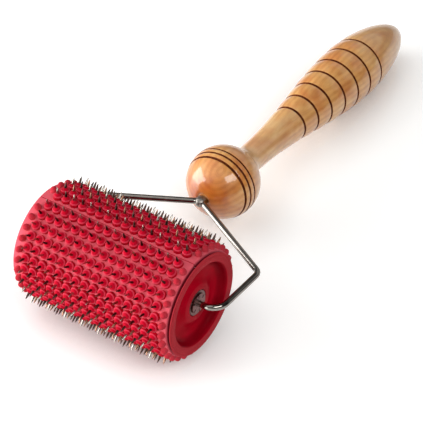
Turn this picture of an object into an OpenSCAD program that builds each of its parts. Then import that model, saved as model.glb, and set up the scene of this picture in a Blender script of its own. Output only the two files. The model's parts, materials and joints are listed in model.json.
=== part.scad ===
// Needle massage roller: a studded rubber mat with metal needles on a drum, carried
// by a bent wire fork with a turned wooden handle. Lengths are in millimetres.
// The roller turns about X, the handle points along +Y and the floor is at Z = 0.

/* [Drum] */
// Outer diameter of the drum tube
drum_d = 50; // [44:0.5:60]
// Wall of the drum tube
drum_wall = 2.5; // [1.5:0.1:3.5]
// Gap between the tube and the spigot of an end cap, all round
spigot_gap = 0.05; // [0.02:0.01:0.15]

/* [Rubber mat] */
// Width of the mat along the roller
mat_w = 89.2; // [86:0.2:100]
// Thickness of the mat under its studs
mat_t = 2.3; // [1.5:0.1:3]
// Width of the cut where the ends of the mat meet
seam_cut = 0.4; // [0.2:0.05:0.8]
// Angle between the two rows of studs beside the seam
seam_angle = 15; // [14:0.5:18]
// Depth of the layer that the needles are rooted in, at the back of the mat
root_layer = 0.4; // [0.2:0.05:0.8]

/* [Studs] */
// Distance between the columns of studs along the roller
column_pitch = 5; // [4.6:0.05:5.2]
// Number of rows of studs round the drum
rows = 31; // [24:1:32]
// Diameter of the lower step of a stud
stud_base_d = 4.6; // [3.6:0.1:4.6]
// Height of the lower step of a stud
stud_base_h = 1.1; // [0.6:0.1:1.4]
// Diameter of the upper step of a stud at its foot
stud_top_d = 3.2; // [2.6:0.1:3.4]
// Diameter of the upper step of a stud at its top
stud_tip_d = 2.4; // [1.6:0.1:2.6]
// Height of the upper step of a stud
stud_top_h = 1.8; // [1:0.1:2.6]
// Distance from the last column of studs to the bare bumps at the ends
bump_offset = 4.7; // [3.4:0.1:5]
// Diameter of a bare bump
bump_d = 3; // [1.6:0.1:3.4]
// Height of a bare bump
bump_h = 2.9; // [0.5:0.1:3.2]
// Distance from the middle of the bare bumps to the ends of the mat, at least
bump_margin = 2; // [1.7:0.1:3]

/* [Needles] */
// Diameter of a needle
needle_d = 1.1; // [0.6:0.05:1.2]
// Length of a needle that stands out of its stud
needle_out = 3.6; // [2:0.1:5]
// Length of the ground point of a needle
needle_point = 1.8; // [1:0.1:1.9]

/* [End caps] */
// Thickness of the rim of an end cap
rim_t = 1.2; // [0.8:0.1:2]
// Distance that the rim stays below the face of the mat
rim_step = 0.3; // [0.1:0.05:0.6]
// Radius of the rounded outer edge of the rim
rim_edge = 0.6; // [0.3:0.1:0.7]
// Wall of an end cap
cap_wall = 1.4; // [1:0.1:2]
// Radius of the rounded edge between the rim and the dish
dish_edge = 1.2; // [0.6:0.1:2]
// Depth of the dish
dish_depth = 5; // [4.5:0.1:8]
// Radius of the rounded corner at the bottom of the dish
dish_corner = 3.2; // [1:0.1:3.6]
// Diameter of the boss at its foot
boss_foot_d = 28; // [22:0.5:30]
// Diameter of the boss at its top
boss_top_d = 19.6; // [18:0.2:21]
// Distance from the rim face down to the top of the boss
boss_drop = 1.2; // [0.6:0.1:1.6]
// Radius of the rounded edge at the top of the boss
boss_edge = 1.4; // [0.6:0.1:1.6]
// Diameter of the recess in the boss
recess_d = 13.6; // [12.5:0.1:14.5]
// Depth of the recess in the boss
recess_depth = 2.4; // [2.2:0.1:3]
// Length of the hub behind the bottom of the dish
hub_len = 6; // [3:0.5:10]

/* [Bushes and washers] */
// Outer diameter of a bush
bush_d = 7; // [6:0.1:8]
// Diameter of the flange of a bush
bush_flange_d = 13; // [11:0.1:13.4]
// Thickness of the flange of a bush
bush_flange_t = 1; // [0.6:0.1:1.4]
// Running gap between a bush and the axle, all round
running_gap = 0.06; // [0.03:0.01:0.1]
// Gap between the flange of a bush and its star washer
end_play = 0.3; // [0.2:0.05:0.6]
// Diameter of a star washer
washer_d = 10.4; // [9:0.1:12]
// Thickness of a star washer
washer_t = 0.6; // [0.4:0.1:1]
// Number of teeth of a star washer
washer_teeth = 6; // [4:1:8]
// Width of the slot between two teeth
washer_slot = 0.7; // [0.5:0.1:1.4]

/* [Wire fork] */
// Diameter of the wire
wire_d = 3.2; // [2.6:0.1:3.6]
// Distance from the face of an end cap to the middle of an arm
arm_gap = 8.7; // [8:0.1:16]
// Bend radius between the axle and an arm
hub_bend = 8; // [6:0.5:8.5]
// Distance from the axle to the corner of an arm
arm_len = 35.8; // [33:0.2:42]
// Bend radius at the corner of an arm
corner_bend = 5; // [4:0.5:8]
// Distance from the corners to the point where the wires meet, along the handle
roof_rise = 30; // [26:0.5:36]
// Bend radius where the wires turn into the handle
leg_bend = 4; // [3:0.5:6]
// Gap between the two legs of the wire
leg_gap = 0.2; // [0.1:0.05:0.6]
// Length of a leg, from the point where the wires meet
leg_len = 42; // [30:1:60]
// Radius of the weld bead
bead_r = 3.2; // [2.8:0.1:3.8]

/* [Handle] */
// Diameter of the ball
ball_d = 38.2; // [36:0.2:44]
// Distance from the point where the wires meet to the front of the ball
ball_gap = 2.2; // [1.8:0.1:4]
// Gap between the legs and their hole in the handle
leg_hole_gap = 0.1; // [0.05:0.05:0.4]
// Diameter of the neck
neck_d = 15; // [13:0.2:18]
// Radius of the hollow between the ball and the neck
hollow_r = 15; // [8:0.5:20]
// Length of the even part of the neck
neck_len = 0.5; // [0.5:0.5:8]
// Length from the neck to the thickest place of the barrel
swell_len = 100.5; // [90:0.5:120]
// Greatest diameter of the barrel
barrel_d = 33; // [28:0.2:38]
// Length from the thickest place of the barrel to its end
tail_len = 50; // [40:1:60]
// Fullness of the rounded end of the barrel
tail_power = 1.7; // [1.5:0.05:2.5]
// Number of burnt grooves round the barrel
barrel_grooves = 7; // [0:1:8]
// Distance from the neck to the first groove of the barrel
first_groove = 38; // [30:0.2:44]
// Distance between the first two grooves of the barrel
groove_pitch = 11; // [9:0.1:12]
// Growth of that distance from groove to groove
groove_growth = 0.26; // [0:0.02:0.3]
// Number of burnt grooves round the ball
ball_grooves = 3; // [0:1:4]
// Distance from the middle of the ball forward to its first groove
ball_groove_lead = 6.6; // [4:0.2:8]
// Distance between the grooves of the ball
ball_groove_pitch = 3.3; // [3:0.1:4.5]
// Width of a burnt groove
groove_w = 1; // [0.6:0.1:1.4]
// Depth of a burnt groove
groove_depth = 0.5; // [0.3:0.05:0.8]

/* [Hidden] */
$fn = 72;
// Overlap that lets a cut run past a face
past = 1;
// Sides of the small round pieces
stud_sides = 24;
needle_sides = 16;

drum_r = drum_d / 2;
drum_inner_r = drum_r - drum_wall;
mat_r = drum_r + mat_t;
mat_inner_r = drum_r + root_layer;
roller_half = mat_w / 2 + rim_t;

// As many columns as the width of the mat takes, with a hair of slack for rounding
count_slack = 0.001;
columns = floor((mat_w - 2 * (bump_offset + bump_margin)) / column_pitch + count_slack) + 1;
row_angle = (360 - seam_angle) / (rows - 1);
// The two lowest rows stand on the floor at equal height, one on each side of the axle
lowest_row = floor(rows / 2) - 1;
seam_at = 270 - row_angle * (lowest_row + 0.5) - seam_angle / 2;
row_angles = [for (k = [0 : rows - 1]) seam_at + seam_angle / 2 + row_angle * k];
bump_angles = [for (k = [0 : rows - 2]) row_angles[k] + row_angle / 2];
column_places = [for (k = [0 : columns - 1]) (k - (columns - 1) / 2) * column_pitch];
bump_place = column_places[columns - 1] + bump_offset;
stud_h = stud_base_h + stud_top_h;
// How far a stud reaches into the mat, so that its whole foot is inside
foot_sink = 0.2;
stud_foot = mat_r - sqrt(mat_r ^ 2 - (stud_base_d / 2) ^ 2) + foot_sink;
tip_r = mat_r + stud_h + needle_out;
axle_h = tip_r * cos(row_angle / 2);

rim_r = mat_r - rim_step;
spigot_r = drum_inner_r - spigot_gap;
dish_r = spigot_r - cap_wall;
// The rounded corner leaves a strip of straight wall below the rounded edge
dish_strip = 0.2;
corner_r = min(dish_corner, dish_depth - dish_edge - dish_strip);
recess_floor = boss_drop + recess_depth;
hub_end = dish_depth + cap_wall + hub_len;
bush_r = bush_d / 2;
bush_bore_r = wire_d / 2 + running_gap;
washer_place = recess_floor - bush_flange_t - end_play;

wire_r = wire_d / 2;
// Straights run a little way into the bends, which are a hair thicker, so that the wire is one piece
join_run = 0.05;
join_step = 0.005;
arm_x = roller_half + arm_gap;
leg_x = wire_r + leg_gap / 2;
roof_angle = atan2(roof_rise, arm_x - leg_x);
corner_turn = 90 - roof_angle;
corner_reach = corner_bend * tan(corner_turn / 2);
leg_reach = leg_bend * tan(corner_turn / 2);
roof_len = norm([arm_x - leg_x, roof_rise]);
meet_y = arm_len + roof_rise;

ball_r = ball_d / 2;
ball_y = meet_y + ball_gap + ball_r;
neck_r = neck_d / 2;
// The hollow touches a ball that is a hair smaller, so that it starts inside the wood
hollow_sink = 0.1;
hollow_reach = ball_r - hollow_sink + hollow_r;
neck_y = ball_y + sqrt(hollow_reach ^ 2 - (neck_r + hollow_r) ^ 2);
hollow_turn = acos((neck_r + hollow_r) / hollow_reach);
swell_y = neck_y + neck_len;
barrel_r = barrel_d / 2;
thick_y = swell_y + swell_len;
end_y = thick_y + tail_len;
leg_hole_r = leg_x + wire_r + leg_hole_gap;
leg_end_y = meet_y + leg_len;

// Outline of the handle behind the ball as [radius, distance from the axle]
swell_steps = 40;
tail_steps = 24;
swell_line = [for (k = [0 : swell_steps])
    let (part = k / swell_steps)
    [neck_r + (barrel_r - neck_r) * (1 - cos(180 * part)) / 2, swell_y + swell_len * part]];
tail_line = [for (k = [1 : tail_steps])
    let (part = sin(90 * k / tail_steps))
    [barrel_r * sqrt(1 - part ^ tail_power), thick_y + tail_len * part]];
barrel_line = concat(swell_line, tail_line);

function swell_radius(y) = neck_r + (barrel_r - neck_r) * (1 - cos(180 * (y - swell_y) / swell_len)) / 2;
function tail_radius(y) = barrel_r * sqrt(1 - ((y - thick_y) / tail_len) ^ tail_power);
function barrel_radius(y) = y < thick_y ? swell_radius(y) : tail_radius(y);
function barrel_groove_y(k) = neck_y + first_groove + k * groove_pitch + k * (k - 1) / 2 * groove_growth;
function ball_groove_y(k) = ball_y - ball_groove_lead + k * ball_groove_pitch;

// The handle leans down until its barrel lies on the floor
function barrel_height(lean) = min([for (p = barrel_line) axle_h - p[1] * sin(lean) - p[0] * cos(lean)]);
function settle(low, high, turns) =
    let (middle = (low + high) / 2)
    turns == 0 ? middle
    : barrel_height(middle) > 0 ? settle(middle, high, turns - 1)
    : settle(low, middle, turns - 1);
steepest_lean = 20;
settle_turns = 40;
lean = settle(0, steepest_lean, settle_turns);

// The origin is under the middle of the whole roller
back_y = min([for (a = row_angles) tip_r * cos(a)]);
front_y = max([for (p = barrel_line) p[1] * cos(lean) + p[0] * sin(lean)]);
shift_y = -(back_y + front_y) / 2;

function arc(x, y, r, from, to, steps = 8) =
    [for (k = [0 : steps]) let (a = from + (to - from) * k / steps) [x + r * cos(a), y + r * sin(a)]];

RING_NODES = [for (k = [0 : columns - 1]) str("needle_ring_", k + 1)];

// Places what is drawn about the axle, along Z, with +X of the drawing pointing back along the handle
module on_axle() {
    translate([0, shift_y, axle_h]) rotate([0, 90, 0]) rotate(90) children();
}

// Places what is drawn with the roller end at Z = 0 and the depth of the cap along +Z
module at_end(side) {
    translate([side * roller_half, shift_y, axle_h]) rotate([0, -90 * side, 0]) children();
}

// Places what is drawn in the plane of the fork, with X across and Y along the handle
module on_fork() {
    translate([0, shift_y, axle_h]) rotate([-lean, 0, 0]) children();
}

// Places what stands on the drum at an angle about the axle and a place along it, along +Z
module on_drum(angle, place) {
    translate([place, shift_y, axle_h]) rotate([angle - 90, 0, 0]) children();
}

module tube(outer, inner, length) {
    difference() {
        cylinder(r = outer, h = length, center = true);
        cylinder(r = inner, h = length + 2 * past, center = true);
    }
}

// A straight length of wire along +Y that runs into the bends at its ends, then what comes after it
module wire_straight(length) {
    translate([0, -join_run, 0]) rotate([-90, 0, 0]) cylinder(r = wire_r, h = length + 2 * join_run);
    translate([0, length, 0]) children();
}

// A bend of the wire to the left for a positive turn, followed by what comes after it
module wire_bend(radius, turn) {
    side = sign(turn);
    translate([-side * radius, 0, 0]) {
        mirror([side < 0 ? 1 : 0, 0, 0])
            rotate_extrude(angle = abs(turn)) translate([radius, 0]) circle(wire_r + join_step);
        rotate(turn) translate([side * radius, 0, 0]) children();
    }
}

// One side of the fork, from the end of the axle to the end of a leg in the handle
module wire_side() {
    translate([arm_x - hub_bend, 0, 0]) rotate(-90)
        wire_bend(hub_bend, 90)
        wire_straight(arm_len - hub_bend - corner_reach)
        wire_bend(corner_bend, corner_turn)
        wire_straight(roof_len - corner_reach - leg_reach)
        wire_bend(leg_bend, -corner_turn)
        wire_straight(leg_len - leg_reach);
}

module wire() {
    rotate([0, 90, 0]) cylinder(r = wire_r, h = 2 * (arm_x - hub_bend + join_run), center = true);
    wire_side();
    mirror([1, 0, 0]) wire_side();
}

module wire_frame() {
    color("silver") on_fork() wire();
}

module weld_bead() {
    color("gray") on_fork() difference() {
        translate([0, meet_y - bead_r / 2, 0]) rotate([90, 0, 0]) sphere(bead_r);
        wire();
    }
}

module groove_ring(y, r) {
    translate([0, y, 0]) rotate([-90, 0, 0]) rotate_extrude()
        polygon([[r - groove_depth, 0], [r + past, -groove_w / 2 * (1 + past / groove_depth)],
            [r + past, groove_w / 2 * (1 + past / groove_depth)]]);
}

module handle() {
    hollow = arc(neck_r + hollow_r, neck_y, hollow_r, 180 + hollow_turn, 180);
    outline = concat([[0, ball_y]], hollow, barrel_line);
    color("burlywood") on_fork() difference() {
        union() {
            translate([0, ball_y, 0]) sphere(ball_r);
            rotate([-90, 0, 0]) rotate_extrude() polygon(outline);
        }
        translate([0, ball_y - ball_r - past, 0]) rotate([-90, 0, 0])
            cylinder(r = leg_hole_r, h = leg_end_y - ball_y + ball_r + past);
        for (k = [0 : 1 : ball_grooves - 1])
            groove_ring(ball_groove_y(k), sqrt(ball_r ^ 2 - (ball_groove_y(k) - ball_y) ^ 2));
        for (k = [0 : 1 : barrel_grooves - 1])
            groove_ring(barrel_groove_y(k), barrel_radius(barrel_groove_y(k)));
    }
}

// A push-on washer: a thin disc on the axle, slotted into teeth from its edge
module star_washer(side) {
    color("dimgray") at_end(side) translate([0, 0, washer_place - washer_t]) difference() {
        cylinder(d = washer_d, h = washer_t);
        translate([0, 0, -past]) cylinder(r = wire_r, h = washer_t + 2 * past);
        for (k = [0 : washer_teeth - 1])
            rotate(k * 360 / washer_teeth) translate([wire_d, -washer_slot / 2, -past])
                cube([washer_d, washer_slot, washer_t + 2 * past]);
    }
}

module drum_tube() {
    color("whitesmoke") on_axle() tube(drum_r, drum_inner_r, mat_w);
}

// A moulded cap as a revolved outline of [radius, depth below the rim face]
module end_cap(side) {
    rim = concat([[rim_r, rim_t]], arc(rim_r - rim_edge, rim_edge, rim_edge, 0, -90));
    edge = arc(dish_r + dish_edge, dish_edge, dish_edge, -90, -180);
    corner = arc(dish_r - corner_r, dish_depth - corner_r, corner_r, 0, 90);
    boss = arc(boss_top_d / 2 - boss_edge, boss_drop + boss_edge, boss_edge, 0, -90);
    hub = [[recess_d / 2, boss_drop], [recess_d / 2, recess_floor], [bush_r, recess_floor],
        [bush_r, hub_end], [boss_top_d / 2, hub_end], [boss_top_d / 2, dish_depth + cap_wall]];
    spigot = [[spigot_r, dish_depth + cap_wall], [spigot_r, rim_t]];
    color("firebrick") at_end(side) rotate_extrude()
        polygon(concat(rim, edge, corner, [[boss_foot_d / 2, dish_depth]], boss, hub, spigot));
}

module bush(side) {
    color("ivory") at_end(side) difference() {
        union() {
            translate([0, 0, recess_floor - bush_flange_t]) cylinder(d = bush_flange_d, h = bush_flange_t);
            translate([0, 0, recess_floor - bush_flange_t])
                cylinder(r = bush_r, h = hub_end - recess_floor + bush_flange_t);
        }
        translate([0, 0, -past]) cylinder(r = bush_bore_r, h = hub_end + 2 * past);
    }
}

// A stud with two steps, its foot sunk into the mat
module stud() {
    rotate_extrude($fn = stud_sides)
        polygon([[0, -stud_foot], [stud_base_d / 2, -stud_foot], [stud_base_d / 2, stud_base_h],
            [stud_top_d / 2, stud_base_h], [stud_tip_d / 2, stud_h], [0, stud_h]]);
}

module rubber_mat() {
    root_w = columns * column_pitch;
    color("crimson") difference() {
        union() {
            on_axle() tube(mat_r, drum_r, mat_w);
            for (angle = row_angles, place = column_places)
                on_drum(angle, place) translate([0, 0, mat_r]) stud();
            for (angle = bump_angles, side = [-1, 1])
                on_drum(angle, side * bump_place) translate([0, 0, mat_r - stud_foot])
                    cylinder(d1 = bump_d, d2 = bump_d / 2, h = bump_h + stud_foot, $fn = stud_sides);
        }
        on_axle() cylinder(r = mat_inner_r, h = root_w, center = true);
        on_drum(seam_at, 0) translate([-mat_w / 2 - past, -seam_cut / 2, drum_r - past])
            cube([mat_w + 2 * past, seam_cut, mat_t + 2 * past]);
    }
}

module needle() {
    root_r = drum_r + root_layer / 2;
    shank_r = tip_r - needle_point;
    rotate_extrude($fn = needle_sides)
        polygon([[0, root_r], [needle_d / 2, root_r], [needle_d / 2, shank_r], [0, tip_r]]);
}

// One column of needles, rooted in its slice of the layer at the back of the mat
module needle_ring(k) {
    color("lightsteelblue") {
        translate([column_places[k], 0, 0]) on_axle() tube(mat_inner_r, drum_r, column_pitch);
        for (angle = row_angles) on_drum(angle, column_places[k]) needle();
    }
}

handle();
wire_frame();
weld_bead();
star_washer(-1);  // star_washer_left
star_washer(1);  // star_washer_right
drum_tube();
end_cap(-1);  // end_cap_left
end_cap(1);  // end_cap_right
bush(-1);  // bush_left
bush(1);  // bush_right
rubber_mat();
for (k = [0 : columns - 1]) needle_ring(k);
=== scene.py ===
import json
import math
import random

import bmesh
import bpy
from mathutils import Matrix, Quaternion, Vector, noise


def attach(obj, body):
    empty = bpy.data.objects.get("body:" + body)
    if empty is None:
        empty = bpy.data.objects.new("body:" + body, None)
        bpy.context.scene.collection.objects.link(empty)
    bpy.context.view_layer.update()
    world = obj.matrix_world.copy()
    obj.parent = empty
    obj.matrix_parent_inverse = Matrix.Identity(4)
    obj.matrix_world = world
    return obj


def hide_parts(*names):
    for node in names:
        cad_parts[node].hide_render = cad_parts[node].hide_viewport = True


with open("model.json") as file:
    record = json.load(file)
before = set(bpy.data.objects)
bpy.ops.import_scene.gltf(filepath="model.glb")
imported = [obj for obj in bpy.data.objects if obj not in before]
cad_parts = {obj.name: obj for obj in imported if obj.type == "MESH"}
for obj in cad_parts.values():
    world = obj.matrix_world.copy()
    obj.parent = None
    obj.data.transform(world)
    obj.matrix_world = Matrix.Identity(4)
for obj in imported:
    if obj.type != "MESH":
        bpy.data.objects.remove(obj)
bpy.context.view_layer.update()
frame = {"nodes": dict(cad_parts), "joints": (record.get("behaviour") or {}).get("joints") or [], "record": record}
scene = bpy.context.scene
scene.view_settings.view_transform = "Standard"

mm = 0.001
mergeDist = 0.005 * mm  # points closer than this are one
axle = Vector(frame["joints"][0]["pos_m"])
gripAxis = Vector(frame["record"]["mounts"][0]["axis"])
lean = math.atan2(-gripAxis.z, gripAxis.y)
onFork = Matrix.Translation(axle) @ Matrix.Rotation(-lean, 4, "X")  # X across the fork, Y along the handle
print("frame loaded, handle leans", round(math.degrees(lean), 2), "degrees")


def linear(hexColour):
    parts = [int(hexColour[i:i + 2], 16) / 255 for i in (1, 3, 5)]
    return [c / 12.92 if c <= 0.04045 else ((c + 0.055) / 1.055) ** 2.4 for c in parts] + [1]


def addNode(tree, kind, inputs=None, stops=None, **settings):
    node = tree.nodes.new(kind)
    for name, value in settings.items():
        setattr(node, name, value)
    for name, value in (inputs or {}).items():
        if isinstance(value, bpy.types.NodeSocket):
            tree.links.new(value, node.inputs[name])
        else:
            node.inputs[name].default_value = value
    for k, (place, colour) in enumerate(stops or []):
        points = node.color_ramp.elements
        point = points[k] if k < 2 else points.new(place)  # a new ramp has two points
        point.position, point.color = place, linear(colour)
    return node


def startMaterial(name):
    material = bpy.data.materials.new(name)
    material.use_nodes = True
    material.node_tree.nodes.clear()
    return material, material.node_tree


# photograph's viewpoint, lengths in mm, focal length in pixels of the 423 pixel wide picture, clip in metres
viewpoint = {"azimuth": 34.6994, "elevation": 41.1288, "roll": -1.327, "distance": 1037.79,
             "target": (0.150, -39.071, 15.0), "focal": 2037.91, "picture": 423, "sensor": 36,
             "clip": (0.05, 20)}


# direction by compass angle (0 is in front, -90 left) and height angle
def compass(azimuth, height):
    a, e = math.radians(azimuth), math.radians(height)
    return Vector((math.sin(a) * math.cos(e), -math.cos(a) * math.cos(e), math.sin(e)))


def makeCamera(v):
    back = compass(v["azimuth"], v["elevation"])
    roll = Quaternion((0, 0, 1), math.radians(v["roll"]))
    data = bpy.data.cameras.new("photoCamera")
    data.sensor_width = v["sensor"]
    data.lens = v["sensor"] * v["focal"] / v["picture"]
    data.clip_start, data.clip_end = v["clip"]
    camera = bpy.data.objects.new("photoCamera", data)
    camera.location = (Vector(v["target"]) + back * v["distance"]) * mm
    camera.rotation_mode = "QUATERNION"
    camera.rotation_quaternion = (-back).to_track_quat("-Z", "Y") @ roll
    scene.collection.objects.link(camera)
    scene.camera = camera


makeCamera(viewpoint)

# soft studio, lamps by compass and height angle, distance and size in metres, watts
studio = {"centre": (0, -0.03, 0.02),
          "lamps": [("leftWindow", -56, 13, 1.0, (0.84, 0.56), 10.6),
                    ("rightBox", 68, 46, 1.0, (0.6, 0.35), 3.9),
                    ("topLeftBox", -52, 56, 1.2, (1.7, 1.7), 6.4),
                    ("frontStrip", -16, 5, 1.2, (1.2, 0.16), 5.6),
                    ("backCard", 172, 28, 1.3, (1.6, 0.6), 1.6)],
          "brightSide": (-36, 0), "roomStrength": 0.37,
          "roomTones": [(0.1, "#3c3b3a"), (0.5, "#a8a7a5"), (0.9, "#ffffff")]}


def makeLamps(s):
    centre = Vector(s["centre"])
    for name, azimuth, height, distance, size, power in s["lamps"]:
        away = compass(azimuth, height)
        data = bpy.data.lights.new(name, "AREA")
        data.shape, data.size, data.size_y, data.energy = "RECTANGLE", size[0], size[1], power
        lamp = bpy.data.objects.new(name, data)
        lamp.location = centre + away * distance
        lamp.rotation_euler = away.to_track_quat("Z", "Y").to_euler()
        scene.collection.objects.link(lamp)


# the camera sees white, everything else a room that is pale on the window's side and dark behind
def makeRoom(s):
    world = bpy.data.worlds.new("studioRoom")
    scene.world = world
    world.use_nodes = True
    tree = world.node_tree
    tree.nodes.clear()
    coord = addNode(tree, "ShaderNodeTexCoord")
    side = addNode(tree, "ShaderNodeVectorMath",
                   {0: coord.outputs["Generated"], 1: compass(*s["brightSide"])}, operation="DOT_PRODUCT")
    share = addNode(tree, "ShaderNodeMapRange", {"Value": side.outputs["Value"], "From Min": -1.0})
    room = addNode(tree, "ShaderNodeValToRGB", {"Fac": share.outputs[0]}, stops=s["roomTones"])
    light = addNode(tree, "ShaderNodeBackground",
                    {"Color": room.outputs["Color"], "Strength": s["roomStrength"]})
    white = addNode(tree, "ShaderNodeBackground", {"Color": (1, 1, 1, 1), "Strength": 1.0})
    ray = addNode(tree, "ShaderNodeLightPath")
    mix = addNode(tree, "ShaderNodeMixShader",
                  {"Fac": ray.outputs["Is Camera Ray"], 1: light.outputs[0], 2: white.outputs[0]})
    addNode(tree, "ShaderNodeOutputWorld", {"Surface": mix.outputs[0]})


# board under the object, fleck in mm, size and the reach of the shade under the object in metres
board = {"size": 4.0, "tones": [(0.3, "#e6e5e3"), (0.7, "#e9e8e6")], "fleck": 2.5, "roughness": 0.15,
         "glow": 0.47, "shadeReach": 0.03, "shadeSamples": 8}


# cast acrylic sheet: white and smooth, glows a little for the camera and for reflections, keeps the shadow
def whiteAcrylic(b):
    material, tree = startMaterial("whiteAcrylicBoard")
    coord = addNode(tree, "ShaderNodeTexCoord")
    flecks = addNode(tree, "ShaderNodeTexNoise",
                     {"Vector": coord.outputs["Object"], "Scale": 1 / (b["fleck"] * mm), "Detail": 3.0})
    tint = addNode(tree, "ShaderNodeValToRGB", {"Fac": flecks.outputs["Fac"]}, stops=b["tones"])
    sheet = addNode(tree, "ShaderNodeBsdfPrincipled",
                    {"Base Color": tint.outputs["Color"], "Roughness": b["roughness"], "IOR": 1.49})
    ray = addNode(tree, "ShaderNodeLightPath")
    seen = addNode(tree, "ShaderNodeMath",
                   {0: ray.outputs["Is Camera Ray"], 1: ray.outputs["Is Glossy Ray"]}, operation="ADD")
    seen = addNode(tree, "ShaderNodeMath",
                   {0: seen.outputs[0], 1: ray.outputs["Is Transmission Ray"]}, operation="ADD")
    level = addNode(tree, "ShaderNodeMath", {0: seen.outputs[0], 1: b["glow"]}, operation="MULTIPLY")
    # the glow is dimmed near the object by ambient occlusion: a painted contact shadow
    shade = addNode(tree, "ShaderNodeAmbientOcclusion",
                    {"Distance": b["shadeReach"]}, samples=b["shadeSamples"])
    level = addNode(tree, "ShaderNodeMath",
                    {0: level.outputs[0], 1: shade.outputs["AO"]}, operation="MULTIPLY")
    glow = addNode(tree, "ShaderNodeEmission", {"Color": (1, 1, 1, 1), "Strength": level.outputs[0]})
    both = addNode(tree, "ShaderNodeAddShader", {0: sheet.outputs[0], 1: glow.outputs[0]})
    addNode(tree, "ShaderNodeOutputMaterial", {"Surface": both.outputs[0]})
    return material


def makeFloor(b):
    bm = bmesh.new()
    bmesh.ops.create_grid(bm, x_segments=1, y_segments=1, size=b["size"])
    mesh = bpy.data.meshes.new("paperFloor")
    bm.to_mesh(mesh)
    bm.free()
    mesh.materials.append(whiteAcrylic(b))
    floor = bpy.data.objects.new("paperFloor", mesh)
    scene.collection.objects.link(floor)


makeLamps(studio)
makeRoom(studio)
makeFloor(board)
print("studio ready")

# turned alder under clear lacquer: amber, growth rings cut lengthwise, streaks, end grain darker and redder, paler
# at the neck and tail, partly sapwood and partly a painted sheen
alderLook = {"pithAt": (-3.4, 0, -14.8), "pithTurn": (-0.003, 0, 0.02),  # heart just under the upper side
             "ringScale": 0.105, "ringDistortion": 2.5,  # 3 mm a year
             "streakScale": (0.13, 0.055, 0.13), "streakDistortion": 0.4,  # 8 mm wide, 18 mm long
             "poreScale": (2.6, 0.13, 2.6), "poreDepth": 0.04,  # 0.4 mm wide, 8 mm long
             "cloudScale": 0.1,  # 10 mm
             "ringTones": [(0.0, "#f6ba6e"), (0.6, "#eeab58"), (0.9, "#d9904a"), (1.0, "#e3a052")],
             "streakTones": [(0.36, "#facd8c"), (0.52, "#eca958"), (0.70, "#d0883e")], "streakShare": 0.5,
             "warmTones": [(0.42, "#ffffff"), (0.66, "#e8b070")], "warmShare": 0.6,
             "poreTones": [(0.3, "#dccbb4"), (0.6, "#ffffff")], "poreShare": 0.3,
             "endGrain": "#e4a850", "sapwoodAndSheen": "#f0d8b4", "roughness": (0.32, 0.48),
             "lacquer": 0.85, "lacquerRoughness": 0.04, "lacquerIor": 1.54}


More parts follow.
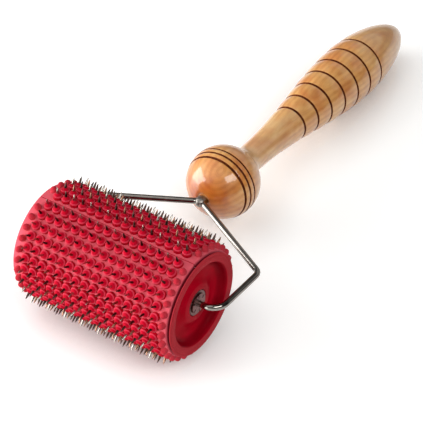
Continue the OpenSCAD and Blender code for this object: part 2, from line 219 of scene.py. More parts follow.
def lacqueredAlder(w):
    material, tree = startMaterial("lacqueredAlder")
    turn = Matrix.Rotation(lean, 3, "X")
    coord = addNode(tree, "ShaderNodeTexCoord")
    along = addNode(tree, "ShaderNodeMapping",
                    {"Vector": coord.outputs["Object"], "Scale": (1 / mm, 1 / mm, 1 / mm),
                     "Rotation": (lean, 0, 0), "Location": -(turn @ axle) / mm})  # mm along the handle
    pith = addNode(tree, "ShaderNodeMapping",
                   {"Vector": along.outputs[0], "Rotation": w["pithTurn"], "Location": w["pithAt"]})
    rings = addNode(tree, "ShaderNodeTexWave",
                    {"Vector": pith.outputs[0], "Scale": w["ringScale"], "Distortion": w["ringDistortion"],
                     "Detail": 2.0, "Detail Scale": 0.1}, wave_type="RINGS", rings_direction="Y")
    grain = addNode(tree, "ShaderNodeMapping", {"Vector": along.outputs[0], "Scale": w["streakScale"]})
    streaks = addNode(tree, "ShaderNodeTexNoise",
                      {"Vector": grain.outputs[0], "Scale": 1.0, "Detail": 4.0, "Roughness": 0.55,
                       "Distortion": w["streakDistortion"]})
    fibre = addNode(tree, "ShaderNodeMapping", {"Vector": along.outputs[0], "Scale": w["poreScale"]})
    pores = addNode(tree, "ShaderNodeTexNoise", {"Vector": fibre.outputs[0], "Scale": 1.0, "Detail": 3.0})
    cloud = addNode(tree, "ShaderNodeTexNoise",
                    {"Vector": along.outputs[0], "Scale": w["cloudScale"], "Detail": 2.0})
    ringTone = addNode(tree, "ShaderNodeValToRGB", {"Fac": rings.outputs["Fac"]}, stops=w["ringTones"])
    streakTone = addNode(tree, "ShaderNodeValToRGB", {"Fac": streaks.outputs["Fac"]}, stops=w["streakTones"])
    wood = addNode(tree, "ShaderNodeMix",
                   {0: w["streakShare"], 6: ringTone.outputs["Color"], 7: streakTone.outputs["Color"]},
                   data_type="RGBA")
    warm = addNode(tree, "ShaderNodeValToRGB", {"Fac": cloud.outputs["Fac"]}, stops=w["warmTones"])
    wood = addNode(tree, "ShaderNodeMix", {0: w["warmShare"], 6: wood.outputs[2], 7: warm.outputs["Color"]},
                   data_type="RGBA", blend_type="MULTIPLY")
    fine = addNode(tree, "ShaderNodeValToRGB", {"Fac": pores.outputs["Fac"]}, stops=w["poreTones"])
    wood = addNode(tree, "ShaderNodeMix", {0: w["poreShare"], 6: wood.outputs[2], 7: fine.outputs["Color"]},
                   data_type="RGBA", blend_type="MULTIPLY")
    endGrain = addNode(tree, "ShaderNodeAttribute", attribute_name="endGrain")
    wood = addNode(tree, "ShaderNodeMix",
                   {0: endGrain.outputs["Fac"], 6: wood.outputs[2], 7: linear(w["endGrain"])},
                   data_type="RGBA", blend_type="MULTIPLY")
    pale = addNode(tree, "ShaderNodeAttribute", attribute_name="pale")
    wood = addNode(tree, "ShaderNodeMix",
                   {0: pale.outputs["Fac"], 6: wood.outputs[2], 7: linear(w["sapwoodAndSheen"])}, data_type="RGBA")
    rough = addNode(tree, "ShaderNodeMapRange",
                    {"Value": pores.outputs["Fac"], "To Min": w["roughness"][0], "To Max": w["roughness"][1]})
    bump = addNode(tree, "ShaderNodeBump",
                   {"Height": pores.outputs["Fac"], "Strength": 0.10, "Distance": w["poreDepth"] * mm})
    shader = addNode(tree, "ShaderNodeBsdfPrincipled",
                     {"Base Color": wood.outputs[2], "Roughness": rough.outputs[0], "Normal": bump.outputs[0],
                      "IOR": 1.5, "Coat Weight": w["lacquer"], "Coat Roughness": w["lacquerRoughness"],
                      "Coat IOR": w["lacquerIor"]})
    addNode(tree, "ShaderNodeOutputMaterial", {"Surface": shader.outputs[0]})
    return material


# wood charred by a wire held in the turning groove: matt, dark brown, no lacquer left, soot patches in mm
charLook = {"soot": 2.0, "tones": [(0.3, "#481a08"), (0.7, "#6c3214")], "roughness": 0.8, "shine": 0.1}


def charredAlder(w):
    material, tree = startMaterial("charredAlder")
    coord = addNode(tree, "ShaderNodeTexCoord")
    soot = addNode(tree, "ShaderNodeTexNoise",
                   {"Vector": coord.outputs["Object"], "Scale": 1 / (w["soot"] * mm), "Detail": 3.0})
    colour = addNode(tree, "ShaderNodeValToRGB", {"Fac": soot.outputs["Fac"]}, stops=w["tones"])
    shader = addNode(tree, "ShaderNodeBsdfPrincipled",
                     {"Base Color": colour.outputs["Color"], "Roughness": w["roughness"],
                      "Specular IOR Level": w["shine"]})
    addNode(tree, "ShaderNodeOutputMaterial", {"Surface": shader.outputs[0]})
    return material


# metals share one build: a tone that wanders in patches, uneven polish and fine dents, lengths in mm
def metal(name, dark, pale, patch, polish, dent, depth):
    material, tree = startMaterial(name)
    coord = addNode(tree, "ShaderNodeTexCoord")
    tone = addNode(tree, "ShaderNodeTexNoise",
                   {"Vector": coord.outputs["Object"], "Scale": 1 / (patch * mm), "Detail": 3.0})
    colour = addNode(tree, "ShaderNodeValToRGB", {"Fac": tone.outputs["Fac"]},
                     stops=[(0.32, dark), (0.68, pale)])
    rough = addNode(tree, "ShaderNodeMapRange",
                    {"Value": tone.outputs["Fac"], "From Min": 0.3, "From Max": 0.7,
                     "To Min": polish[0], "To Max": polish[1]})
    grit = addNode(tree, "ShaderNodeTexNoise",
                   {"Vector": coord.outputs["Object"], "Scale": 1 / (dent * mm), "Detail": 2.0})
    bump = addNode(tree, "ShaderNodeBump",
                   {"Height": grit.outputs["Fac"], "Strength": 0.5, "Distance": depth * mm})
    shader = addNode(tree, "ShaderNodeBsdfPrincipled",
                     {"Base Color": colour.outputs["Color"], "Metallic": 1.0, "Roughness": rough.outputs[0],
                      "Normal": bump.outputs[0]})
    addNode(tree, "ShaderNodeOutputMaterial", {"Surface": shader.outputs[0]})
    return material


# moulded plastic cap: deep red in the dish; rim and boss rougher where rubbed, with a paler tone painted on as
# sheen; a darker ring painted on as shade in the channel's corner; in mm
capLook = {"cloud": 6.25, "haze": 0.5, "hazeDepth": 0.03, "deep": [(0.3, "#ae021b"), (0.7, "#bc0422")],
           "dullSheen": [(0.3, "#b62c36"), (0.7, "#c03640")], "paintedShade": "#6a000e",
           "roughness": (0.34, 0.5), "shine": 0.02}


def mouldedRed(w):
    material, tree = startMaterial("mouldedRedPlastic")
    coord = addNode(tree, "ShaderNodeTexCoord")
    cloud = addNode(tree, "ShaderNodeTexNoise",
                    {"Vector": coord.outputs["Object"], "Scale": 1 / (w["cloud"] * mm), "Detail": 3.0})
    haze = addNode(tree, "ShaderNodeTexNoise",
                   {"Vector": coord.outputs["Object"], "Scale": 1 / (w["haze"] * mm), "Detail": 2.0})
    deep = addNode(tree, "ShaderNodeValToRGB", {"Fac": cloud.outputs["Fac"]}, stops=w["deep"])
    dullSheen = addNode(tree, "ShaderNodeValToRGB", {"Fac": haze.outputs["Fac"]}, stops=w["dullSheen"])
    # paler tone on the rim and boss top is a painted sheen, the rougher finish there is real rubbing
    rubbedAndSheen = addNode(tree, "ShaderNodeAttribute", attribute_name="rubbedAndSheen")
    red = addNode(tree, "ShaderNodeMix",
                  {0: rubbedAndSheen.outputs["Fac"], 6: deep.outputs["Color"], 7: dullSheen.outputs["Color"]},
                  data_type="RGBA")
    # darker ring painted in the channel's corner as shade
    channelShade = addNode(tree, "ShaderNodeAttribute", attribute_name="channelShade")
    red = addNode(tree, "ShaderNodeMix", {0: channelShade.outputs["Fac"], 6: red.outputs[2], 7: linear(w["paintedShade"])},
                  data_type="RGBA")
    rough = addNode(tree, "ShaderNodeMapRange",
                    {"Value": rubbedAndSheen.outputs["Fac"],
                     "To Min": w["roughness"][0], "To Max": w["roughness"][1]})
    bump = addNode(tree, "ShaderNodeBump",
                   {"Height": haze.outputs["Fac"], "Strength": 0.15, "Distance": w["hazeDepth"] * mm})
    shader = addNode(tree, "ShaderNodeBsdfPrincipled",
                     {"Base Color": red.outputs[2], "Roughness": rough.outputs[0], "Normal": bump.outputs[0],
                      "IOR": 1.5, "Specular IOR Level": w["shine"]})
    addNode(tree, "ShaderNodeOutputMaterial", {"Surface": shader.outputs[0]})
    return material


# moulded rubber: coral sheet with a chalky bloom, deeper red studs with a paler ring on the shoulder that is a
# painted highlight, hardly any shine
# lengths in mm, tones run from the sheet to the top of a stud
rubberLook = {"cloud": 25 / 3, "grit": 0.4, "gritDepth": 0.04,
              # the stop at 0.63 paints a highlight round each stud's shoulder
              "tones": [(0.0, "#e25e6c"), (0.05, "#b2021f"), (0.55, "#bc0824"), (0.63, "#d84458"),
                        (0.68, "#cc3048"), (0.73, "#c00a2a"), (1.0, "#bf0626")],
              "bloom": [(0.3, "#ecdede"), (0.7, "#ffffff")], "bloomShare": 0.7, "paintedShade": "#6e0e20",
              "roughness": (0.62, 0.42), "shine": 0.02, "sheen": 0.12, "sheenRoughness": 0.4}


def vulcanisedRubber(w):
    material, tree = startMaterial("vulcanisedRubber")
    coord = addNode(tree, "ShaderNodeTexCoord")
    cloud = addNode(tree, "ShaderNodeTexNoise",
                    {"Vector": coord.outputs["Object"], "Scale": 1 / (w["cloud"] * mm), "Detail": 4.0})
    grit = addNode(tree, "ShaderNodeTexNoise",
                   {"Vector": coord.outputs["Object"], "Scale": 1 / (w["grit"] * mm), "Detail": 2.0})
    lift = addNode(tree, "ShaderNodeAttribute", attribute_name="lift")
    tone = addNode(tree, "ShaderNodeValToRGB", {"Fac": lift.outputs["Fac"]}, stops=w["tones"])
    bloom = addNode(tree, "ShaderNodeValToRGB", {"Fac": cloud.outputs["Fac"]}, stops=w["bloom"])
    red = addNode(tree, "ShaderNodeMix",
                  {0: w["bloomShare"], 6: tone.outputs["Color"], 7: bloom.outputs["Color"]},
                  data_type="RGBA", blend_type="MULTIPLY")
    # darkens the mat's end by the right cap: painted shade in the gap
    paintedShade = addNode(tree, "ShaderNodeAttribute", attribute_name="paintedShade")
    red = addNode(tree, "ShaderNodeMix", {0: paintedShade.outputs["Fac"], 6: red.outputs[2], 7: linear(w["paintedShade"])},
                  data_type="RGBA")
    rough = addNode(tree, "ShaderNodeMapRange",
                    {"Value": lift.outputs["Fac"], "To Min": w["roughness"][0], "To Max": w["roughness"][1]})
    bump = addNode(tree, "ShaderNodeBump",
                   {"Height": grit.outputs["Fac"], "Strength": 0.2, "Distance": w["gritDepth"] * mm})
    shader = addNode(tree, "ShaderNodeBsdfPrincipled",
                     {"Base Color": red.outputs[2], "Roughness": rough.outputs[0], "Normal": bump.outputs[0],
                      "IOR": 1.52, "Specular IOR Level": w["shine"], "Sheen Weight": w["sheen"],
                      "Sheen Roughness": w["sheenRoughness"]})
    addNode(tree, "ShaderNodeOutputMaterial", {"Surface": shader.outputs[0]})
    return material


# extruded polypropylene tube: milky white with die lines 1 mm apart, only its bore and ends ever show
tubeLook = {"lineScale": (30, 900, 900), "tones": [(0.3, "#ded9d0"), (0.7, "#ece8e0")], "roughness": 0.45}


def extrudedTube(w):
    material, tree = startMaterial("extrudedPolypropylene")
    coord = addNode(tree, "ShaderNodeTexCoord")
    lines = addNode(tree, "ShaderNodeMapping", {"Vector": coord.outputs["Object"], "Scale": w["lineScale"]})
    draw = addNode(tree, "ShaderNodeTexNoise", {"Vector": lines.outputs[0], "Scale": 1.0, "Detail": 2.0})
    milk = addNode(tree, "ShaderNodeValToRGB", {"Fac": draw.outputs["Fac"]}, stops=w["tones"])
    shader = addNode(tree, "ShaderNodeBsdfPrincipled",
                     {"Base Color": milk.outputs["Color"], "Roughness": w["roughness"]})
    addNode(tree, "ShaderNodeOutputMaterial", {"Surface": shader.outputs[0]})
    return material


alder = lacqueredAlder(alderLook)
charred = charredAlder(charLook)
redCap = mouldedRed(capLook)
redMat = vulcanisedRubber(rubberLook)
tubeWhite = extrudedTube(tubeLook)
# drawn bright wire, a cast weld skin with ripples, tempered sheet and zinc plating; the sheet and the plating are
# dark pinkish brown, a painted reflection of the red cap and painted shade in its recess
wireSteel = metal("polishedSteelWire", dark="#88827c", pale="#a59f98", patch=6.0, polish=(0.10, 0.18),
                  dent=1.5, depth=0.004)
weldSteel = metal("brazedWeldMetal", dark="#7c766f", pale="#a8a29b", patch=1.2, polish=(0.30, 0.46),
                  dent=0.6, depth=0.12)
# dark pinkish brown: painted reflection of the red cap and painted shade in the recess
springSteel = metal("stampedSpringSteel", dark="#5e3c3c", pale="#8a6462", patch=1.5, polish=(0.32, 0.48),
                    dent=0.6, depth=0.08)
bushSteel = metal("turnedZincedSteel", dark="#5a3c3a", pale="#84625e", patch=1.0, polish=(0.30, 0.45),
                  dent=0.5, depth=0.08)
# needles: pale and bright, nearly black, dull brownish pink
needleNickel = metal("nickelPlatedNeedle", dark="#9a938a", pale="#c2bbb1", patch=1.5, polish=(0.16, 0.26),
                     dent=0.3, depth=0.005)
needleIron = metal("blackenedIronNeedle", dark="#3c2c28", pale="#604a44", patch=1.5, polish=(0.25, 0.40),
                   dent=0.3, depth=0.005)
needleCopper = metal("copperNeedle", dark="#7d5a48", pale="#a07b64", patch=1.5, polish=(0.22, 0.32),
                     dent=0.3, depth=0.005)
print("materials ready")


# edges that turn by more than sharp, in degrees, stay hard
def makePiece(name, bm, place, materials, sharp, body, nodes):
    bmesh.ops.transform(bm, matrix=place, verts=bm.verts)
    mesh = bpy.data.meshes.new(name)
    bm.to_mesh(mesh)
    bm.free()
    for material in materials:
        mesh.materials.append(material)
    mesh.shade_smooth()
    mesh.set_sharp_from_angle(angle=math.radians(sharp))
    piece = bpy.data.objects.new(name, mesh)
    scene.collection.objects.link(piece)
    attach(piece, body)
    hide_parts(*nodes)
    print("made", name, len(mesh.polygons), "faces")


# an outline of (radius, place) in mm, turned round the Y axis
def lathe(outline, steps, closed=False):
    bm = bmesh.new()
    line = [bm.verts.new((r * mm, y * mm, 0)) for r, y in outline]
    ends = line[1:] + line[:1] if closed else line[1:]
    edges = [bm.edges.new(pair) for pair in zip(line, ends)]
    bmesh.ops.spin(bm, geom=line + edges, cent=(0, 0, 0), axis=(0, 1, 0), angle=2 * math.pi, steps=steps,
                   use_merge=True)
    bmesh.ops.remove_doubles(bm, verts=bm.verts, dist=mergeDist)
    bmesh.ops.recalc_face_normals(bm, faces=bm.faces)
    return bm


def arc(x, y, r, start, end, steps=6):
    angles = [math.radians(start + (end - start) * k / steps) for k in range(steps + 1)]
    return [(x + r * math.cos(a), y + r * math.sin(a)) for a in angles]


# turned handle in mm, measured from the axle along the handle, angles in degrees
# holeEdge is (wider than the hole, behind the front), the pale tone's marks are (place, mm behind it, share of the
# pale tone), a tone that is partly sapwood and partly a painted sheen
handle = {"ballAt": 87.1, "ballR": 19.1, "neckAt": 112.59, "neckR": 7.5, "neckLen": 0.5, "hollowR": 15,
          "swell": 100.5, "barrelR": 16.5, "tail": 50, "tailPower": 1.7,
          "holeR": 3.4, "holeDeep": 0.3, "holeEdge": [(0, 0.5), (0.12, 0.15), (0.5, 0)],
          "barrelGrooves": 7, "firstGroove": 38, "groovePitch": 11, "grooveGrowth": 0.26,
          "barrelGrooveHalf": 0.72,
          "ballGrooveLead": 6.6, "ballGroovePitch": 3.3, "ballGrooveHalves": (0.62, 0.56, 0.5),
          "grooveDepth": 0.5, "grooveClear": 1.0, "shoulderDrop": 0.4, "shoulderWide": 2.8,
          "sapwoodAndSheen": [("ball", -4, 0), ("ball", 12, 0.3), ("neck", 0, 0.3), ("neck", 26, 0.2),
                      ("firstGroove", 8, 0.06), ("thick", 0, 0.06), ("end", 0, 0.44)],
          "steps": 96, "ballAngles": (13, 138, 3), "hollowSteps": 14, "barrelStep": 1.5,
          "tailAngles": (60, 90, 3), "frontClear": 0.2, "endClear": 0.02, "grainFade": 4, "sharp": 50}


def makeHandle(h):
    swellAt = h["neckAt"] + h["neckLen"]
    hollowFrom = h["ballAt"] + (h["neckAt"] - h["ballAt"]) * h["ballR"] / (h["ballR"] + h["hollowR"])
    thickAt = swellAt + h["swell"]
    endAt = thickAt + h["tail"]
    firstLine = h["neckAt"] + h["firstGroove"]
    # burnt lines are (place, half width)
    ballLines = [(h["ballAt"] - h["ballGrooveLead"] + k * h["ballGroovePitch"], half)
                 for k, half in enumerate(h["ballGrooveHalves"])]
    barrelLines = [(firstLine + k * h["groovePitch"] + k * (k - 1) / 2 * h["grooveGrowth"],
                    h["barrelGrooveHalf"]) for k in range(h["barrelGrooves"])]
    lines = ballLines + barrelLines

    def inGroove(y):
        return max(max(0, 1 - abs(y - g) / half) for g, half in lines)

    def radius(y):
        if y > thickAt:
            r = h["barrelR"] * math.sqrt(max(0, 1 - ((y - thickAt) / h["tail"]) ** h["tailPower"]))
        elif y > h["neckAt"]:
            t = max(0, (y - swellAt) / h["swell"])
            r = h["neckR"] + (h["barrelR"] - h["neckR"]) * (1 - math.cos(math.pi * t)) / 2
        elif y > hollowFrom:  # a hollow where the ball runs into the neck
            r = h["neckR"] + h["hollowR"] - math.sqrt(h["hollowR"] ** 2 - (h["neckAt"] - y) ** 2)
        else:
            r = math.sqrt(max(0, h["ballR"] ** 2 - (y - h["ballAt"]) ** 2))
        nearest = min(abs(y - g) for g, half in barrelLines)
        scallop = h["shoulderDrop"] * math.exp(-(nearest / h["shoulderWide"]) ** 2)
        return r - scallop - h["grooveDepth"] * inGroove(y)

    marks = {"ball": h["ballAt"], "neck": h["neckAt"], "firstGroove": firstLine, "thick": thickAt,
             "end": endAt}
    paleAt = [(marks[mark] + behind, share) for mark, behind, share in h["sapwoodAndSheen"]]

    # a pale tone at the neck and at the tail, partly sapwood and partly a painted sheen
    def paleness(y):
        for (y0, a0), (y1, a1) in zip(paleAt, paleAt[1:]):
            if y <= y1:
                return a0 + (a1 - a0) * max(0, y - y0) / (y1 - y0)
        return paleAt[-1][1]

    # places along the handle that get a point of the outline, closer together in the grooves
    front = h["ballAt"] - math.sqrt(h["ballR"] ** 2 - (h["holeR"] + h["holeEdge"][-1][0]) ** 2)
    places = [h["ballAt"] - h["ballR"] * math.cos(math.radians(a)) for a in range(*h["ballAngles"])]
    places += [hollowFrom + (h["neckAt"] - hollowFrom) * k / h["hollowSteps"]
               for k in range(h["hollowSteps"] + 1)]
    places += [swellAt + h["barrelStep"] * k for k in range(1, int((endAt - swellAt) / h["barrelStep"]) + 1)]
    places += [thickAt + h["tail"] * math.sin(math.radians(a)) for a in range(*h["tailAngles"])]
    clear = h["grooveClear"]
    places = [p for p in places if front + h["frontClear"] < p < endAt - h["endClear"]
              and min(abs(p - g) for g, half in lines) > clear]
    for g, half in lines:
        places += [g + d for d in (-clear, -half, -half / 2, 0, half / 2, half, clear)]
    hole = [(0, front + h["holeDeep"]), (h["holeR"], front + h["holeDeep"])]
    hole += [(h["holeR"] + wider, front + behind) for wider, behind in h["holeEdge"]]
    outline = hole + [(radius(p), p) for p in sorted(places)] + [(0, endAt)]
    bm = lathe(outline, h["steps"])
    bm.normal_update()
    endGrain = bm.verts.layers.float.new("endGrain")
    pale = bm.verts.layers.float.new("pale")
    for v in bm.verts:
        v[pale] = paleness(v.co.y / mm)
        outside = 1 - min(1, inGroove(v.co.y / mm) * h["grainFade"])  # no end grain in the grooves
        v[endGrain] = abs(v.normal.y) ** 2 * outside
    for f in bm.faces:
        f.material_index = 1 if inGroove(f.calc_center_median().y / mm) > 0 else 0
    makePiece("turnedHandle", bm, onFork, [alder, charred], h["sharp"], "fork", ["handle"])


makeHandle(handle)

# bent wire in mm: axle, arms, sloping roof and two legs that go into the ball
wire = {"r": 1.6, "armX": 54.5, "hubBend": 8, "armLen": 35.8, "cornerBend": 5, "roofRise": 30, "legBend": 4,
        "legGap": 0.2, "legLen": 42, "sides": 24, "bendSteps": 16, "sharp": 60}


def makeWire(w):
    legX = w["r"] + w["legGap"] / 2
    roofAngle = math.atan2(w["roofRise"], w["armX"] - legX)
    turn = math.pi / 2 - roofAngle
    cornerReach, legReach = w["cornerBend"] * math.tan(turn / 2), w["legBend"] * math.tan(turn / 2)
    roofLen = math.hypot(w["armX"] - legX, w["roofRise"])
    # straights are (length, 0), bends are (radius, turn to the left)
    route = [(w["armX"] - w["hubBend"], 0), (w["hubBend"], math.pi / 2),
             (w["armLen"] - w["hubBend"] - cornerReach, 0), (w["cornerBend"], turn),
             (roofLen - cornerReach - legReach, 0), (w["legBend"], -turn), (w["legLen"] - legReach, 0)]
    bm = bmesh.new()
    ring = bmesh.ops.create_circle(bm, segments=w["sides"], radius=w["r"] * mm,
                                   matrix=Matrix.Rotation(math.pi / 2, 4, "Y"))["verts"]
    edges = bm.edges[:]
    place, heading = Vector((0, 0, 0)), 0.0
    for size, bend in route:
        forward = Vector((math.cos(heading), math.sin(heading), 0))
        if bend == 0:
            made = bmesh.ops.extrude_edge_only(bm, edges=edges)["geom"]
            ring = [v for v in made if isinstance(v, bmesh.types.BMVert)]
            bmesh.ops.translate(bm, verts=ring, vec=forward * size * mm)
            place = place + forward * size * mm
        else:
            side = math.copysign(1, bend)
            centre = place + Vector((-forward.y, forward.x, 0)) * side * size * mm
            made = bmesh.ops.spin(bm, geom=ring + edges, cent=centre, axis=(0, 0, 1), angle=bend,
                                  steps=w["bendSteps"])["geom_last"]
            ring = [v for v in made if isinstance(v, bmesh.types.BMVert)]
            place = centre + Matrix.Rotation(bend, 3, "Z") @ (place - centre)
            heading += bend
        edges = [e for e in made if isinstance(e, bmesh.types.BMEdge) and all(v in ring for v in e.verts)]
    bmesh.ops.holes_fill(bm, edges=edges)
    bmesh.ops.mirror(bm, geom=bm.verts[:] + bm.edges[:] + bm.faces[:], axis="X", merge_dist=2 * mergeDist)
    bmesh.ops.remove_doubles(bm, verts=bm.verts, dist=mergeDist)
    bmesh.ops.recalc_face_normals(bm, faces=bm.faces)
    makePiece("bentWire", bm, onFork, [wireSteel], w["sharp"], "fork", ["wire_frame"])


makeWire(wire)

# lump of weld in mm that fills the corner between the wires and the hole in the ball
bead = {"at": 66.7, "r": 3.0, "stretch": 1.25, "flat": 0.98, "lump": 0.35, "lumpSize": 1.6, "rounds": 4,
        "sharp": 180}


def makeBead(b):
    bm = bmesh.new()
    bmesh.ops.create_icosphere(bm, subdivisions=b["rounds"], radius=b["r"] * mm)
    for v in bm.verts:
        v.co *= 1 - b["lump"] / b["r"] * (0.5 + 0.5 * noise.noise(v.co / (b["lumpSize"] * mm)))
    bmesh.ops.scale(bm, vec=(1, b["stretch"], b["flat"]), verts=bm.verts)
    place = onFork @ Matrix.Translation((0, b["at"] * mm, 0))
    makePiece("weldLump", bm, place, [weldSteel], b["sharp"], "fork", ["weld_bead"])


makeBead(bead)

# end caps in mm: crowned rim with a fine line, one smooth channel, boss with a recess, hub and spigot behind
# dish is (radius, depth below the rim face), rimFlank (inside the rim, depth), rimLine (beyond stepR, depth)
cap = {"face": 45.8, "rimT": 1.2, "rimRootR": 24.6, "rimR": 26.6, "hiddenRimR": 24.95, "rimFlank": (0.2, 0.6),
       "rimEdge": 0.3, "rimTop": 0.1, "rimArc": (60, -75), "stepR": 24.9, "lineRoom": 1,
       "rimLine": [(0.5, 0.12), (0.08, 0.22), (-0.12, 0.03)], "crownR": 24.0,
       "dish": [(22.9, 0.05), (21.9, 0.35), (21.3, 1.2), (20.9, 2.5), (20.0, 3.8), (18.3, 4.7), (16.2, 5.0),
                (14.2, 4.85), (12.7, 4.4), (11.4, 3.65), (10.4, 3.0), (9.5, 2.6), (8.5, 2.42), (7.4, 2.4)],
       "recessR": 6.8, "recessEdge": 0.4, "bossTop": 2.4, "recessFloor": 3.6, "boreR": 3.5,
       "hubR": 9.8, "hubEnd": 12.4, "spigotR": 22.45, "spigotFrom": 6.4, "steps": 96, "sharp": 40,
       "rubbedSheenRimR": 22, "rubbedSheenRimDepth": 0.8, "rubbedSheenBossR": (6.7, 10.0), "rubbedSheenBossDepth": 2.8,
       "bossRubAndSheen": 0.3, "channelShadeR": 20.5, "channelShadeHalf": 2.3, "channelShadeMost": 0.62, "channelShadeDepth": (0.4, 6.3)}


# a soft line through the given points, a few short pieces between each two
def softLine(points, pieces=4):
    ends = [points[0]] + points + [points[-1]]
    line = []
    for p, q, r, t in zip(ends, ends[1:], ends[2:], ends[3:]):
        for k in range(pieces):
            u = k / pieces
            line.append(tuple(0.5 * (2 * q[i] + (r[i] - p[i]) * u
                                     + (2 * p[i] - 5 * q[i] + 4 * r[i] - t[i]) * u ** 2
                                     + (3 * q[i] - p[i] - 3 * r[i] + t[i]) * u ** 3) for i in (0, 1)))
    return line + [points[-1]]


def makeCap(c, side, rimR, name, node):
    outline = [(c["rimRootR"], c["rimT"]), (rimR - c["rimFlank"][0], c["rimFlank"][1])]
    outline += arc(rimR - c["rimEdge"], c["rimEdge"] + c["rimTop"], c["rimEdge"], *c["rimArc"])
    if rimR > c["stepR"] + c["lineRoom"]:  # the rim under the mat is too narrow for the line
        outline += [(c["stepR"] + beyond, depth) for beyond, depth in c["rimLine"]]
    outline += [(c["crownR"], 0)] + softLine(c["dish"])
    outline += arc(c["recessR"] + c["recessEdge"], c["bossTop"] + c["recessEdge"], c["recessEdge"],
                   -90, -180, 4)
    outline += [(c["recessR"], c["recessFloor"]), (c["boreR"], c["recessFloor"]), (c["boreR"], c["hubEnd"]),
                (c["hubR"], c["hubEnd"]), (c["hubR"], c["spigotFrom"]), (c["spigotR"], c["spigotFrom"]),
                (c["spigotR"], c["rimT"])]
    bm = lathe(outline, c["steps"], closed=True)
    rubbedAndSheen = bm.verts.layers.float.new("rubbedAndSheen")
    channelShade = bm.verts.layers.float.new("channelShade")
    for v in bm.verts:
        r, depth = math.hypot(v.co.x, v.co.z) / mm, v.co.y / mm
        # rim and boss top: rougher where rubbed, and a paler tone painted on as sheen
        onRim = r > c["rubbedSheenRimR"] and depth < c["rubbedSheenRimDepth"]
        onBoss = c["rubbedSheenBossR"][0] < r < c["rubbedSheenBossR"][1] and depth < c["rubbedSheenBossDepth"]
        v[rubbedAndSheen] = 1.0 if onRim else c["bossRubAndSheen"] if onBoss else 0.0
        if c["channelShadeDepth"][0] < depth < c["channelShadeDepth"][1]:  # painted shade in the corner of the channel
            v[channelShade] = c["channelShadeMost"] * max(0, 1 - ((r - c["channelShadeR"]) / c["channelShadeHalf"]) ** 2)
    place = Matrix.Translation(axle + Vector((side * c["face"] * mm, 0, 0)))
    place = place @ Matrix.Rotation(side * math.pi / 2, 4, "Z")
    makePiece(name, bm, place, [redCap], c["sharp"], "roller", [node])


makeCap(cap, 1, cap["rimR"], "endCapRight", "end_cap_right")
makeCap(cap, -1, cap["hiddenRimR"], "endCapLeft", "end_cap_left")

# rubber mat in mm: a sheet once round the drum with a butt seam, two-step studs and bare bumps at both ends
# studLine and bumpLine are (radius, height), the lifts say which tones of the rubber a form takes
mat = {"backR": 25, "faceR": 27.3, "left": -45.6, "right": 43.9, "lip": 44.5, "lipThick": 0.4, "lipFoot": 0.6,
       "edge": 0.5, "seamAt": 95.75, "seamCut": 0.5, "seamAngle": 15, "steps": 124, "sharp": 75,
       "columns": 16, "pitch": 5, "rows": 31, "bumpPlace": 42.05,
       "studLine": [(0, -0.3), (2.46, -0.3), (2.4, 1.55), (2.22, 1.76), (1.86, 1.84), (1.72, 2.26),
                    (1.4, 2.66), (0.8, 2.86), (0, 2.9)],
       "bumpLine": [(0, -0.3), (1.75, -0.3), (1.75, 1.4), (1.45, 2.25), (0.85, 2.75), (0, 2.9)],
       "studLift": (0.12, 1), "bumpLift": (0.026, 0.04), "studSides": 12, "bumpSides": 10,
       "glueLift": 0.5, "glueDrop": 0.3, "gapShadeIn": 0.02, "gapShadeUnder": 0.05}


# frame of a line along the drum, Z points away from the axle
def onAxle(angle):
    return Matrix.Translation(axle) @ Matrix.Rotation(math.radians(angle - 90), 4, "X")


# place on the drum, Y points away from the axle
def onDrum(angle, column, radius):
    place = Matrix.Translation((column * mm, 0, radius * mm))
    return onAxle(angle) @ place @ Matrix.Rotation(math.pi / 2, 4, "X")


def rowStep(m):
    return (360 - m["seamAngle"]) / (m["rows"] - 1)


def rowAngles(m):
    return [m["seamAt"] + m["seamAngle"] / 2 + rowStep(m) * k for k in range(m["rows"])]


def columnPlaces(m):
    return [(k - (m["columns"] - 1) / 2) * m["pitch"] for k in range(m["columns"])]


# turns a small bmesh into a mould and adds a copy of it at each place
def addCopies(bm, one, places):
    mould = bpy.data.meshes.new("mould")
    one.to_mesh(mould)
    one.free()
    for place in places:
        copy = mould.copy()
        copy.transform(place)
        bm.from_mesh(copy)
        bpy.data.meshes.remove(copy)
    bpy.data.meshes.remove(mould)


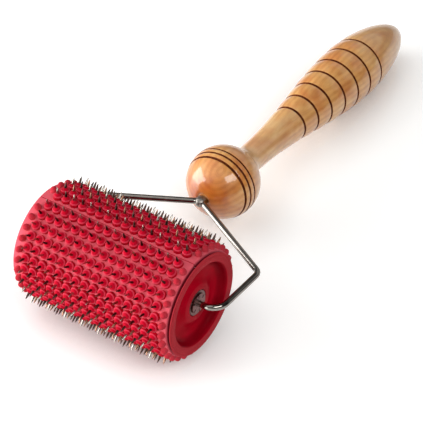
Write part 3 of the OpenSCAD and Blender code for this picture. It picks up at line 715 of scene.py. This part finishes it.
def makeMat(m):
    bm = bmesh.new()
    cut = m["seamCut"] / m["faceR"]
    back, top, edge = m["backR"], m["faceR"], m["edge"]
    section = [(m["left"], back), (m["lip"], back), (m["lip"], back + m["lipThick"]),
               (m["right"], back + m["lipFoot"])]
    section += arc(m["right"] - edge, top - edge, edge, 0, 90)
    section += arc(m["left"] + edge, top - edge, edge, 90, 180)
    start = Matrix.Translation(axle) @ Matrix.Rotation(math.radians(m["seamAt"]) + cut / 2, 4, "X")
    face = bm.faces.new([bm.verts.new(start @ Vector((x * mm, r * mm, 0))) for x, r in section])
    bmesh.ops.spin(bm, geom=face.verts[:] + face.edges[:] + [face], cent=axle, axis=(1, 0, 0),
                   angle=2 * math.pi - cut, steps=m["steps"])
    bmesh.ops.recalc_face_normals(bm, faces=bm.faces)
    lift = bm.verts.layers.float.new("lift")
    paintedShade = bm.verts.layers.float.new("paintedShade")
    for v in bm.verts:  # painted shade in the gap beside the right cap
        r = math.hypot(v.co.y - axle.y, v.co.z - axle.z) / mm
        inGap = v.co.x / mm > m["right"] - m["gapShadeIn"] and r < top - edge - m["gapShadeUnder"]
        v[paintedShade] = 1 if inGap else 0
    # glue that fills the seam, a little below the face
    glue = bmesh.ops.create_cube(bm, size=1)["verts"]
    for v in glue:
        v[lift] = m["glueLift"]
    glueSize = Vector((m["right"] - m["left"] - 2 * edge, m["seamCut"], top - back)) * mm
    glueAt = Vector(((m["right"] + m["left"]) / 2, 0, (top + back) / 2 - m["glueDrop"])) * mm
    bmesh.ops.scale(bm, vec=glueSize, verts=glue)
    bmesh.ops.transform(bm, matrix=onAxle(m["seamAt"]) @ Matrix.Translation(glueAt), verts=glue)

    angles = rowAngles(m)
    studPlaces = [onDrum(a, x, top) for a in angles for x in columnPlaces(m)]
    bumpPlaces = [onDrum(a + rowStep(m) / 2, s * m["bumpPlace"], top) for a in angles[:-1] for s in (-1, 1)]
    for line, (low, high), sides, places in ((m["studLine"], m["studLift"], m["studSides"], studPlaces),
                                             (m["bumpLine"], m["bumpLift"], m["bumpSides"], bumpPlaces)):
        height = line[-1][1]
        one = lathe(line, sides)
        oneLift = one.verts.layers.float.new("lift")
        for v in one.verts:
            v[oneLift] = low + (high - low) * min(1, max(0, v.co.y / mm / height))
        addCopies(bm, one, places)
    makePiece("rubberMat", bm, Matrix.Identity(4), [redMat], m["sharp"], "roller",
              ["rubber_mat"])


makeMat(mat)

# needles in mm, line is (radius, height above the stud), lean the most a needle tips in degrees
# metals by row and column: nickel (0) and iron (1) take turns, in every second row iron and copper (2)
needles = {"line": [(0, -0.9), (0.68, -0.9), (0.66, 0.4), (0.52, 1.8), (0.28, 2.9), (0.03, 3.56), (0, 3.58)],
           "sides": 8, "lean": 1.6, "seed": 11, "pattern": [[0, 1], [1, 2]], "sharp": 50}


def makeNeedles(n, m):
    metals = [needleNickel, needleIron, needleCopper]
    chance = random.Random(n["seed"])
    studTop = m["faceR"] + m["studLine"][-1][1]
    for k, x in enumerate(columnPlaces(m)):
        bm = bmesh.new()
        for kind in range(len(metals)):
            one = lathe(n["line"], n["sides"])
            for f in one.faces:
                f.material_index = kind
            places = []
            for row, angle in enumerate(rowAngles(m)):
                if n["pattern"][row % 2][k % 2] == kind:
                    place = onDrum(angle, x, studTop)
                    for axis in "XZ":
                        tilt = math.radians(chance.uniform(-1, 1) * n["lean"])
                        place = place @ Matrix.Rotation(tilt, 4, axis)
                    places.append(place)
            addCopies(bm, one, places)
        makePiece("needleColumn%02d" % (k + 1), bm, Matrix.Identity(4), metals,
                  n["sharp"], "roller", ["needle_ring_%d" % (k + 1)])


makeNeedles(needles, mat)

# CAD solids that keep their shape take their finish here
finishes = {"drum_tube": tubeWhite, "bush_left": bushSteel, "bush_right": bushSteel,
            "star_washer_left": springSteel, "star_washer_right": springSteel}
for node, material in finishes.items():
    solid = frame["nodes"][node]
    solid.data.materials.clear()
    solid.data.materials.append(material)
print("finished", len(finishes), "solids")
